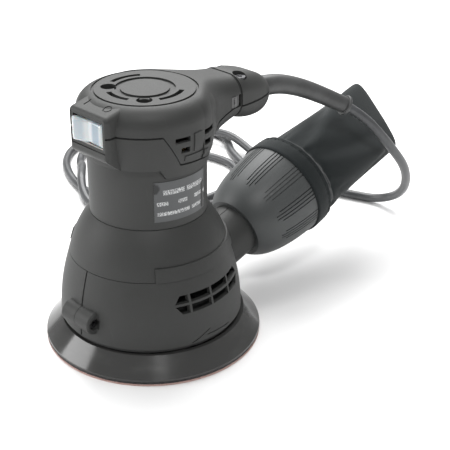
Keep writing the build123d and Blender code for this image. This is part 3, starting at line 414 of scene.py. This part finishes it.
slotFinish = {
    "black_gloss": glossPad("padGloss", (0.042, 0.042, 0.041)),
    "body_plastic": plastic("bodyPlastic", (0.031, 0.0318, 0.0305), 0.56, 0.5, 1100.0, 0.2,
                            Specular_IOR_Level=0.4),
    "collar_plastic": plastic("collarPlastic", (0.056, 0.06, 0.06), 0.48, 0.3, 1500.0, 0.2,
                              Specular_IOR_Level=0.45),
    "hook_fabric": pile("hookPile", (0.014, 0.014, 0.015)),
    "abrasive": grit("abrasiveGrit", (0.62, 0.47, 0.43), (0.42, 0.25, 0.22)),
    "brake_rubber": rubber("brakeRubber", (0.012, 0.012, 0.012), 0.6),
    "steel": metal("shaftSteel", (0.52, 0.52, 0.53), 0.32),
    "bearing_steel": metal("bearingSteel", (0.62, 0.62, 0.63), 0.22),
    "laminations": stacked("coreSheets", (0.3, 0.3, 0.31)),
    "copper": winding("copperWire", (0.62, 0.27, 0.12)),
    "brass": metal("holderBrass", (0.66, 0.48, 0.2), 0.35, False),
    "carbon": plastic("brushCarbon", (0.015, 0.015, 0.016), 0.6, 0.5, 900.0),
    "fan_plastic": plastic("fanPlastic", (0.05, 0.05, 0.052), 0.45, 0.2, 1100.0, 0.2),
    "hub_metal": metal("hubAlloy", (0.5, 0.5, 0.51), 0.42, False),
    "label_grey": ratingPlate("ratingPlate", (0.075, 0.078, 0.08), (0.7, 0.71, 0.71), 0.8),
    "label_black": iconStrip("iconStrip", (0.008, 0.008, 0.008), (0.8, 0.8, 0.8)),
    # the second colour is the painted shade laid on the boot's facets
    "boot_silicone": silicone("bootSilicone", (0.5, 0.53, 0.54), (0.2, 0.27, 0.33)),
    "rocker_plastic": plastic("rockerPlastic", (0.5, 0.55, 0.58), 0.35, 0.15),
    "switch_plastic": plastic("switchPlastic", (0.03, 0.03, 0.032), 0.45, 0.2),
    "dial_plastic": plastic("dialPlastic", (0.1, 0.1, 0.1), 0.45, 0.2),
    "board": circuitBoard("circuitBoard"),
    "capacitor_yellow": plastic("capacitorShell", (0.75, 0.5, 0.05), 0.35, 0.1),
    "wire": rubber("wireSleeve", (0.12, 0.03, 0.02), 0.4),
    "screw_steel": metal("screwSteel", (0.1, 0.1, 0.105), 0.4, False),
    "cord_rubber": rubber("cordRubber", (0.06, 0.062, 0.065), 0.36, 0.1),
    "guard_rubber": rubber("guardRubber", (0.055, 0.056, 0.056), 0.42, 0.12),
    "plug_rubber": rubber("plugRubber", (0.03, 0.03, 0.031), 0.45, 0.2),
    "pin_metal": metal("pinNickel", (0.7, 0.69, 0.66), 0.2),
    "bag_cloth": wovenCloth("bagCloth", (0.0105, 0.013, 0.0135)),
}


def coat(piece, slotName):
    piece.data.materials.clear()
    piece.data.materials.append(slotFinish[slotName])


print("finishes mixed")


# shared making tools
def addPiece(piece, body, slotName, *replaced):
    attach(piece, body)
    coat(piece, slotName)
    if replaced:
        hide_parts(*replaced)
    return piece


def settle(piece):
    bpy.ops.object.select_all(action="DESELECT")
    piece.select_set(True)
    bpy.context.view_layer.objects.active = piece
    bpy.ops.object.transform_apply(location=True, rotation=True, scale=True)


def newMesh(name, corners, faces):
    data = bpy.data.meshes.new(name)
    data.from_pydata([tuple(corner) for corner in corners], [], faces)
    data.validate()
    piece = bpy.data.objects.new(name, data)
    bpy.context.scene.collection.objects.link(piece)
    bm = bmesh.new()
    bm.from_mesh(data)
    bmesh.ops.recalc_face_normals(bm, faces=bm.faces)
    bm.to_mesh(data)
    bm.free()
    for face in data.polygons:
        face.use_smooth = True
    return piece


outlet = {"start": (47.0, 0.0, 32.2), "tilt": 16.5}
tilt = math.radians(outlet["tilt"])
outletDown = Vector((math.sin(tilt), 0, -math.cos(tilt)))
outletSide = Vector((0, 1, 0))
outletAlong = Vector((math.cos(tilt), 0, math.sin(tilt)))


def atOutlet(down, side, along):
    place = Vector(outlet["start"]) + outletDown * down + outletSide * side + outletAlong * along
    return place * mm


print("tools ready")


# carried-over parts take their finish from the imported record
for part in frame["record"]["subparts"]:
    coat(nodes[part["node"]], part["material_slot"])
print("parts finished")


# cord guard: a tapered sleeve with a thin lip at its free end
sleeve = {"route": [(82, 0, 126.8), (96, -0.6, 126.4), (111, -3.6, 123.4), (130.5, -10.6, 114.8),
                    (148, -20, 104)],
          "radius": 5.9, "swell": (1.1, 1.06, 1.0, 0.93, 0.88), "lipRadius": 6.5, "lipDepth": 2.0,
          "lipBack": 0.4, "lipRim": 1.1, "lipHollow": 1.0, "lipEdge": 0.55}
cordGuard = smoothLine("cordGuard", sleeve["route"], sleeve["radius"], sleeve["swell"])
cordGuard.data.bevel_resolution = 8
bpy.ops.object.select_all(action="DESELECT")
cordGuard.select_set(True)
bpy.context.view_layer.objects.active = cordGuard
bpy.ops.object.convert(target="MESH")
cordGuard = bpy.context.object
ends = inMetres(sleeve["route"][-2:])
heading = (ends[1] - ends[0]).normalized()
bpy.ops.object.select_all(action="DESELECT")
bpy.ops.mesh.primitive_cylinder_add(vertices=48, radius=sleeve["lipRadius"] * mm,
                                    depth=sleeve["lipDepth"] * mm,
                                    location=ends[1] - heading * sleeve["lipBack"] * mm,
                                    rotation=heading.to_track_quat("Z", "Y").to_euler())
guardLip = bpy.context.object
guardLip.name = "guardLip"
bpy.ops.object.mode_set(mode="EDIT")
bpy.ops.mesh.select_mode(type="FACE")
bpy.ops.mesh.select_all(action="DESELECT")
bpy.ops.object.mode_set(mode="OBJECT")
for face in guardLip.data.polygons:
    face.select = len(face.vertices) > 4 and face.normal.z > 0.9
bpy.ops.object.mode_set(mode="EDIT")
bpy.ops.mesh.inset(thickness=sleeve["lipRim"] * mm)
bpy.ops.mesh.extrude_region_move(TRANSFORM_OT_translate={"value": heading * -sleeve["lipHollow"] * mm})
bpy.ops.object.mode_set(mode="OBJECT")
rounded = guardLip.modifiers.new("rounded", "BEVEL")
rounded.width = sleeve["lipEdge"] * mm
rounded.segments = 3
bpy.ops.object.modifier_apply(modifier="rounded")
bpy.ops.object.shade_smooth_by_angle(angle=math.radians(40))
settle(guardLip)
addPiece(cordGuard, "housing", "guard_rubber", "cord_guard")
addPiece(guardLip, "housing", "guard_rubber")
mainsCord.data.materials.append(slotFinish["cord_rubber"])
print("guard made")


# dust bag: a sewn cloth sleeve that a simulation slackens
bag = {"rings": 30, "sides": 88, "start": 77.4, "end": 168.0, "mouth": 31.2, "narrowing": 5.0,
       "flattening": 13.0, "turn": -45.0, "lean": 0.16, "drift": 2.5, "droop": 5.0, "hem": 1.2,
       "endRings": (0.93, 0.8, 0.62, 0.42, 0.2)}
cloth = {"quality": 6, "mass": 0.25, "tension_stiffness": 18, "compression_stiffness": 18,
         "bending_stiffness": 0.35, "use_pressure": True, "uniform_pressure_force": 0.35,
         "shrink_min": -0.055}
simulation = {"frames": 24, "farthest": 4.5, "gravity": 0.35, "heldRows": 3, "sideways": 0.4}
leaning = math.radians(bag["turn"])


def bagRing(share):
    # round at the mouth, narrowing to a flat sewn end that leans about the outlet's line
    halfWidth = bag["mouth"] - bag["narrowing"] * (1 - (1 - share) ** 2.2)
    halfThick = halfWidth - bag["flattening"] * share ** 2.4
    power = 2 + 3.0 * share ** 1.5
    along = bag["start"] + share * (bag["end"] - bag["start"])
    ring = []
    for step in range(bag["sides"]):
        turn = 2 * math.pi * step / bag["sides"]
        c, s = math.cos(turn), math.sin(turn)
        reach = (abs(c) ** power + abs(s) ** power) ** (-1 / power)
        wide, thick = halfWidth * reach * c, halfThick * reach * s
        down = wide * math.cos(leaning) - thick * math.sin(leaning)
        side = wide * math.sin(leaning) + thick * math.cos(leaning)
        ring.append(atOutlet(down + bag["droop"] * share ** 2, side + bag["drift"] * share ** 2,
                             along - bag["lean"] * wide * share ** 2))
    return ring


def bagShell():
    rings = [bagRing(index / bag["rings"]) for index in range(bag["rings"] + 1)]
    last = rings[-1]
    middle = sum(last, Vector()) / len(last)
    edge = outletAlong * bag["hem"] * mm
    for share in bag["endRings"]:
        rings.append([middle + (corner - middle) * share + edge * (1 - share) for corner in last])
    corners = [corner for ring in rings for corner in ring]
    sides = bag["sides"]
    faces = []
    for row in range(len(rings) - 1):
        for step in range(sides):
            after = (step + 1) % sides
            faces.append((row * sides + step, row * sides + after,
                          (row + 1) * sides + after, (row + 1) * sides + step))
    tip = len(corners)
    corners.append(middle + edge)
    for step in range(sides):
        faces.append(((len(rings) - 1) * sides + step, (len(rings) - 1) * sides + (step + 1) % sides, tip))
    return corners, faces


bagCorners, bagFaces = bagShell()
dustBag = newMesh("dustBag", bagCorners, bagFaces)
bagRest = [corner.copy() for corner in bagCorners]


def slacken(piece, rest):
    held = piece.vertex_groups.new(name="held")
    for row in range(simulation["heldRows"]):
        weight = 1.0 if row < 2 else 0.5
        held.add([row * bag["sides"] + step for step in range(bag["sides"])], weight, "REPLACE")
    soft = piece.modifiers.new("soft", "CLOTH")
    for setting, amount in cloth.items():
        setattr(soft.settings, setting, amount)
    soft.settings.vertex_group_mass = "held"
    soft.settings.effector_weights.gravity = simulation["gravity"]
    soft.collision_settings.use_self_collision = False
    soft.point_cache.frame_start = 1
    soft.point_cache.frame_end = simulation["frames"]
    for moment in range(1, simulation["frames"] + 1):
        bpy.context.scene.frame_set(moment)
    graph = bpy.context.evaluated_depsgraph_get()
    settled = [vertex.co.copy() for vertex in piece.evaluated_get(graph).data.vertices]
    piece.modifiers.remove(soft)
    bpy.context.scene.frame_set(1)
    limit = simulation["farthest"] * mm
    for vertex, home, now in zip(piece.data.vertices, rest, settled):
        shift = now - home
        if shift.length > limit:
            shift = shift.normalized() * limit
        if home.y < 0 and shift.y < 0:
            shift.y *= simulation["sideways"]
        vertex.co = home + shift


slacken(dustBag, bagRest)


# each fold has a softer ridge beside it
foldWidth = 0.2
ridge = {"beside": 0.34, "share": 0.45}
# long soft folds, as the share of the length where each is centred, its angle, depth and skew
folds = ((0.05, 3.5, 2.4, -1.3), (0.5, 4.3, 1.6, 1.1), (0.7, 5.2, 2.2, -0.9), (0.3, 1.2, 1.5, 0.6),
         (0.7, 2.4, 1.2, -0.5))


def foldBag(piece):
    start, end = bag["start"], bag["end"]
    origin = Vector(outlet["start"]) * mm
    for vertex in piece.data.vertices:
        offset = (vertex.co - origin) / mm
        along = offset.dot(outletAlong)
        share = min(max((along - start) / (end - start), 0), 1)
        down = offset.dot(outletDown) - bag["droop"] * share ** 2
        side = offset.dot(outletSide) - bag["drift"] * share ** 2
        turn = math.atan2(side, down)
        outward = outletDown * math.cos(turn) + outletSide * math.sin(turn)
        lift = 0.0
        for first, centre, depth, skew in folds:
            gap = (turn - centre - skew * (share - first) + math.pi) % (2 * math.pi) - math.pi
            fading = math.sin(math.pi * min(1, share * 1.05))
            lift -= depth * math.exp(-(gap / foldWidth) ** 2) * fading ** 0.7
            beside = (gap - ridge["beside"]) / foldWidth
            lift += ridge["share"] * depth * math.exp(-beside ** 2) * fading
        vertex.co += outward * lift * mm


foldBag(dustBag)
lay = dustBag.data.uv_layers.new(name="cloth")
sides = bag["sides"]
around = 2 * math.pi * bag["mouth"] * mm
for face in dustBag.data.polygons:
    columns = [dustBag.data.loops[index].vertex_index % sides for index in face.loop_indices]
    wraps = max(columns) - min(columns) > sides / 2
    for index in face.loop_indices:
        corner = dustBag.data.loops[index].vertex_index
        row, column = divmod(corner, sides)
        if wraps and column < sides / 2:
            column += sides
        lay.data[index].uv = (column / sides * around, row / bag["rings"] * (bag["end"] - bag["start"]) * mm)
bpy.ops.object.select_all(action="DESELECT")
dustBag.select_set(True)
bpy.context.view_layer.objects.active = dustBag
finer = dustBag.modifiers.new("finer", "SUBSURF")
finer.levels = 1
finer.render_levels = 1
bpy.ops.object.modifier_apply(modifier="finer")
addPiece(dustBag, "dust_bag", "bag_cloth", "bag_fabric")
print("bag sewn")


# hem band: turned cloth with a rolled edge each side and a row of stitches
hem = {"profile": ((67.2, 30.9), (66.9, 31.6), (67.4, 32.2), (69.0, 32.3), (72.0, 32.2), (76.0, 32.0),
                   (77.6, 31.5), (78.3, 31.75), (79.3, 31.8), (80.0, 31.3), (79.8, 30.6), (78.0, 30.1),
                   (72.0, 29.6), (68.5, 29.7)),
       "sides": 96, "pucker": 0.2, "puckers": 27, "seam": 77.6, "seamRadius": 31.5, "stitches": 58,
       "thread": 0.34, "stitchStretch": 3.2, "stitchProud": 0.05}


def hemReach(radius, turn, along):
    # small puckers between the stitches
    nearness = math.exp(-((along - hem["seam"]) / 3.0) ** 2)
    return radius + hem["pucker"] * math.sin(turn * hem["puckers"]) * nearness


hemCorners = []
for along, radius in hem["profile"]:
    for step in range(hem["sides"]):
        turn = 2 * math.pi * step / hem["sides"]
        reach = hemReach(radius, turn, along)
        hemCorners.append(atOutlet(reach * math.cos(turn), reach * math.sin(turn), along))
hemFaces = []
rows = len(hem["profile"])
for row in range(rows):
    nextRow = (row + 1) % rows
    for step in range(hem["sides"]):
        after = (step + 1) % hem["sides"]
        hemFaces.append((row * hem["sides"] + step, row * hem["sides"] + after,
                         nextRow * hem["sides"] + after, nextRow * hem["sides"] + step))
hemBand = newMesh("hemBand", hemCorners, hemFaces)
hemLay = hemBand.data.uv_layers.new(name="cloth")
for face in hemBand.data.polygons:
    columns = [hemBand.data.loops[index].vertex_index % hem["sides"] for index in face.loop_indices]
    lines = [hemBand.data.loops[index].vertex_index // hem["sides"] for index in face.loop_indices]
    for index in face.loop_indices:
        row, column = divmod(hemBand.data.loops[index].vertex_index, hem["sides"])
        if max(columns) - min(columns) > hem["sides"] / 2 and column < hem["sides"] / 2:
            column += hem["sides"]
        if max(lines) - min(lines) > rows / 2 and row < rows / 2:
            row += rows
        hemLay.data[index].uv = (column / hem["sides"] * around, row * 2.0 * mm)
addPiece(hemBand, "dust_bag", "bag_cloth", "bag_hem")


def stitchMesh():
    bpy.ops.object.select_all(action="DESELECT")
    bpy.ops.mesh.primitive_uv_sphere_add(segments=8, ring_count=6, radius=hem["thread"] * mm)
    piece = bpy.context.object
    bpy.ops.object.mode_set(mode="EDIT")
    bpy.ops.mesh.select_all(action="SELECT")
    bpy.ops.transform.resize(value=(1.0, 1.0, hem["stitchStretch"]))
    bpy.ops.object.mode_set(mode="OBJECT")
    return piece


def copiesOf(source, name, matrices):
    bm = bmesh.new()
    for matrix in matrices:
        copied = source.data.copy()
        copied.transform(matrix)
        bm.from_mesh(copied)
        bpy.data.meshes.remove(copied)
    data = bpy.data.meshes.new(name)
    bm.to_mesh(data)
    bm.free()
    for face in data.polygons:
        face.use_smooth = True
    piece = bpy.data.objects.new(name, data)
    bpy.context.scene.collection.objects.link(piece)
    bpy.data.objects.remove(source)
    return piece


stitchPlaces = []
for step in range(hem["stitches"]):
    turn = 2 * math.pi * step / hem["stitches"]
    reach = hemReach(hem["seamRadius"], turn, hem["seam"]) + hem["stitchProud"]
    spot = atOutlet(reach * math.cos(turn), reach * math.sin(turn), hem["seam"])
    tangent = (outletSide * math.cos(turn) - outletDown * math.sin(turn)).normalized()
    stitchPlaces.append(Matrix.Translation(spot) @ tangent.to_track_quat("Z", "Y").to_matrix().to_4x4())
hemStitches = copiesOf(stitchMesh(), "hemStitches", stitchPlaces)
addPiece(hemStitches, "dust_bag", "bag_cloth")
print("hem stitched")


# switch boot: a clear skin over the rocker, with a thin flange around it
boot = {"pivot": -35.5, "turn": 7.0, "half": 11.5, "bottom": 127.9, "top": 140.6, "front": -40.9,
        "valley": -39.2, "back": -36.9, "columns": (-9.4, -2.0, 0.0, 2.0, 9.4), "rows": (129.6, 139.4),
        "fallBack": 1.1, "edge": 0.45}


def bootPiece():
    bpy.ops.object.select_all(action="DESELECT")
    depth = boot["back"] - boot["front"]
    bpy.ops.mesh.primitive_cube_add(size=1, location=((boot["front"] + depth / 2) * mm, 0,
                                                      (boot["bottom"] + boot["top"]) / 2 * mm))
    piece = bpy.context.object
    piece.name = "switchBoot"
    piece.scale = (depth * mm, 2 * boot["half"] * mm, (boot["top"] - boot["bottom"]) * mm)
    settle(piece)
    bpy.ops.object.mode_set(mode="EDIT")
    for across in boot["columns"]:
        bpy.ops.mesh.select_all(action="SELECT")
        bpy.ops.mesh.bisect(plane_co=(0, across * mm, 0), plane_no=(0, 1, 0))
    for height in boot["rows"]:
        bpy.ops.mesh.select_all(action="SELECT")
        bpy.ops.mesh.bisect(plane_co=(0, 0, height * mm), plane_no=(0, 0, 1))
    bpy.ops.object.mode_set(mode="OBJECT")
    for vertex in piece.data.vertices:
        x, y, z = vertex.co / mm
        if x > boot["front"] + 0.5:
            continue
        if abs(y) < 0.5:
            vertex.co.x = boot["valley"] * mm
        elif abs(y) < 3:
            vertex.co.x = (boot["valley"] - 0.5) * mm
        if abs(y) > 11 or z < 128.5 or z > 140.5:
            vertex.co.x += boot["fallBack"] * mm
    edges = piece.modifiers.new("edges", "BEVEL")
    edges.width = boot["edge"] * mm
    edges.segments = 3
    edges.limit_method = "ANGLE"
    edges.angle_limit = math.radians(18)
    bpy.ops.object.modifier_apply(modifier="edges")
    bpy.ops.object.shade_smooth_by_angle(angle=math.radians(50))
    pivot = Matrix.Translation((boot["pivot"] * mm, 0, 0))
    piece.data.transform(pivot @ Matrix.Rotation(math.radians(boot["turn"]), 4, "Z") @ pivot.inverted())
    return piece


switchBoot = bootPiece()
addPiece(switchBoot, "switch_rocker", "boot_silicone", "switch_boot")


flange = {"left": 12.9, "right": -13.3, "bottom": 126.9, "top": 143.0, "rim": 1.1, "front": -39.3,
          "depth": 0.9, "edge": 0.3}


def flangePiece():
    bpy.ops.object.select_all(action="DESELECT")
    height = flange["top"] - flange["bottom"]
    width = flange["left"] - flange["right"]
    bpy.ops.mesh.primitive_cube_add(size=1, location=((flange["front"] + flange["depth"] / 2) * mm,
                                                      (flange["right"] + width / 2) * mm,
                                                      (flange["bottom"] + height / 2) * mm))
    piece = bpy.context.object
    piece.name = "bootFlange"
    piece.scale = (flange["depth"] * mm, width * mm, height * mm)
    settle(piece)
    for face in piece.data.polygons:
        face.select = abs(face.normal.x) > 0.9
    bpy.ops.object.mode_set(mode="EDIT")
    bpy.ops.mesh.select_mode(type="FACE")
    bpy.ops.mesh.inset(thickness=flange["rim"] * mm, use_individual=True)
    bpy.ops.mesh.bridge_edge_loops()
    bpy.ops.object.mode_set(mode="OBJECT")
    soft = piece.modifiers.new("soft", "BEVEL")
    soft.width = flange["edge"] * mm
    soft.segments = 2
    bpy.ops.object.modifier_apply(modifier="soft")
    bpy.ops.object.shade_smooth_by_angle(angle=math.radians(45))
    return piece


bootFlange = flangePiece()
addPiece(bootFlange, "housing", "boot_silicone")
bootFlange.data.materials.clear()
bootFlange.data.materials.append(silicone("flangeSilicone", (0.2, 0.195, 0.185), (0.2, 0.195, 0.185)))
print("switch dressed")


# dial numbers around the wheel's rim
dial = {"centre": (51.0, -7.6), "radius": 9.2, "middle": 130.8, "numbers": "123456", "step": 38.0,
        "size": 3.6, "raised": 0.12}
digits = []
for index, figure in enumerate(dial["numbers"]):
    bpy.ops.object.select_all(action="DESELECT")
    bpy.ops.object.text_add()
    word = bpy.context.object
    word.data.body = figure
    word.data.size = dial["size"] * mm
    word.data.extrude = dial["raised"] * mm
    word.data.align_x = "CENTER"
    word.data.align_y = "CENTER"
    bpy.ops.object.convert(target="MESH")
    word = bpy.context.object
    turn = math.radians(-90 + dial["step"] * (index - 2))
    outward = Vector((math.cos(turn), math.sin(turn), 0))
    spot = Vector((*dial["centre"], dial["middle"])) + outward * (dial["radius"] + 0.02)
    sideways = Vector((0, 0, 1)).cross(outward)
    stand = Matrix((sideways, Vector((0, 0, 1)), outward)).transposed().to_4x4()
    word.data.transform(Matrix.Translation(spot * mm) @ stand)
    digits.append(word)
bpy.ops.object.select_all(action="DESELECT")
for word in digits:
    word.select_set(True)
bpy.context.view_layer.objects.active = digits[0]
bpy.ops.object.join()
dialNumbers = bpy.context.object
dialNumbers.name = "dialNumbers"
addPiece(dialNumbers, "dial", "black_gloss")
print("dial numbered")


# fuzz of the hook layer at the disc's edge
fuzz = {"centre": 1.25, "radius": 62.2, "tufts": 620, "heights": (1.15, 2.3), "root": 0.32, "tip": 0.06,
        "length": 1.1}
bpy.ops.object.select_all(action="DESELECT")
bpy.ops.mesh.primitive_cone_add(vertices=5, radius1=fuzz["root"] * mm, radius2=fuzz["tip"] * mm,
                                depth=fuzz["length"] * mm)
tuft = bpy.context.object
tuftPlaces = []
for index in range(fuzz["tufts"]):
    turn = 2 * math.pi * (index + random.uniform(-0.4, 0.4)) / fuzz["tufts"]
    outward = Vector((math.cos(turn), math.sin(turn), random.uniform(-0.5, 0.3)))
    height = random.uniform(*fuzz["heights"])
    spot = Vector((fuzz["centre"], 0, height)) + Vector((math.cos(turn), math.sin(turn), 0)) * fuzz["radius"]
    size = Matrix.Scale(random.uniform(0.7, 1.15), 4)
    pointing = outward.to_track_quat("Z", "Y").to_matrix().to_4x4()
    tuftPlaces.append(Matrix.Translation(spot * mm) @ pointing @ size)
hookFuzz = copiesOf(tuft, "hookFuzz", tuftPlaces)
addPiece(hookFuzz, "pad", "hook_fabric")
print("pad edge fuzzed")


# floor and light
studio = {"floor": 8.0, "air": 0.4,
          "lights": {"topLight": ((0.9, 0.95, 1.7), 72.0, 1.8), "leftLight": ((-1.1, 1.1, 0.7), 13.0, 0.8),
                     "frontLight": ((-0.42, -0.66, 1.4), 9.0, 0.3)}}
bpy.context.scene.view_settings.view_transform = "Standard"
bpy.ops.object.select_all(action="DESELECT")
bpy.ops.mesh.primitive_plane_add(size=studio["floor"], location=(0, 0, -0.0002))
ground = bpy.context.object
ground.name = "studioFloor"
pale = Finish("paleFloor")
cloudy = pale.blend((0.93, 0.93, 0.93), (0.96, 0.96, 0.96), pale.noise(pale.place(), 3.0))
ground.data.materials.append(pale.surface(Base_Color=cloudy, Roughness=0.6))


def softLight(name, place, power, size):
    bpy.ops.object.light_add(type="AREA", location=place)
    lamp = bpy.context.object
    lamp.name = name
    lamp.data.energy = power
    lamp.data.size = size
    lamp.rotation_euler = (Vector((0.05, 0, 0.06)) - Vector(place)).to_track_quat("-Z", "Y").to_euler()
    return lamp


for name, (place, power, size) in studio["lights"].items():
    softLight(name, place, power, size)
world = bpy.data.worlds.new("studioAir")
world.use_nodes = True
world.node_tree.nodes["Background"].inputs["Color"].default_value = (1, 1, 1, 1)
world.node_tree.nodes["Background"].inputs["Strength"].default_value = studio["air"]
bpy.context.scene.world = world
print("studio lit")
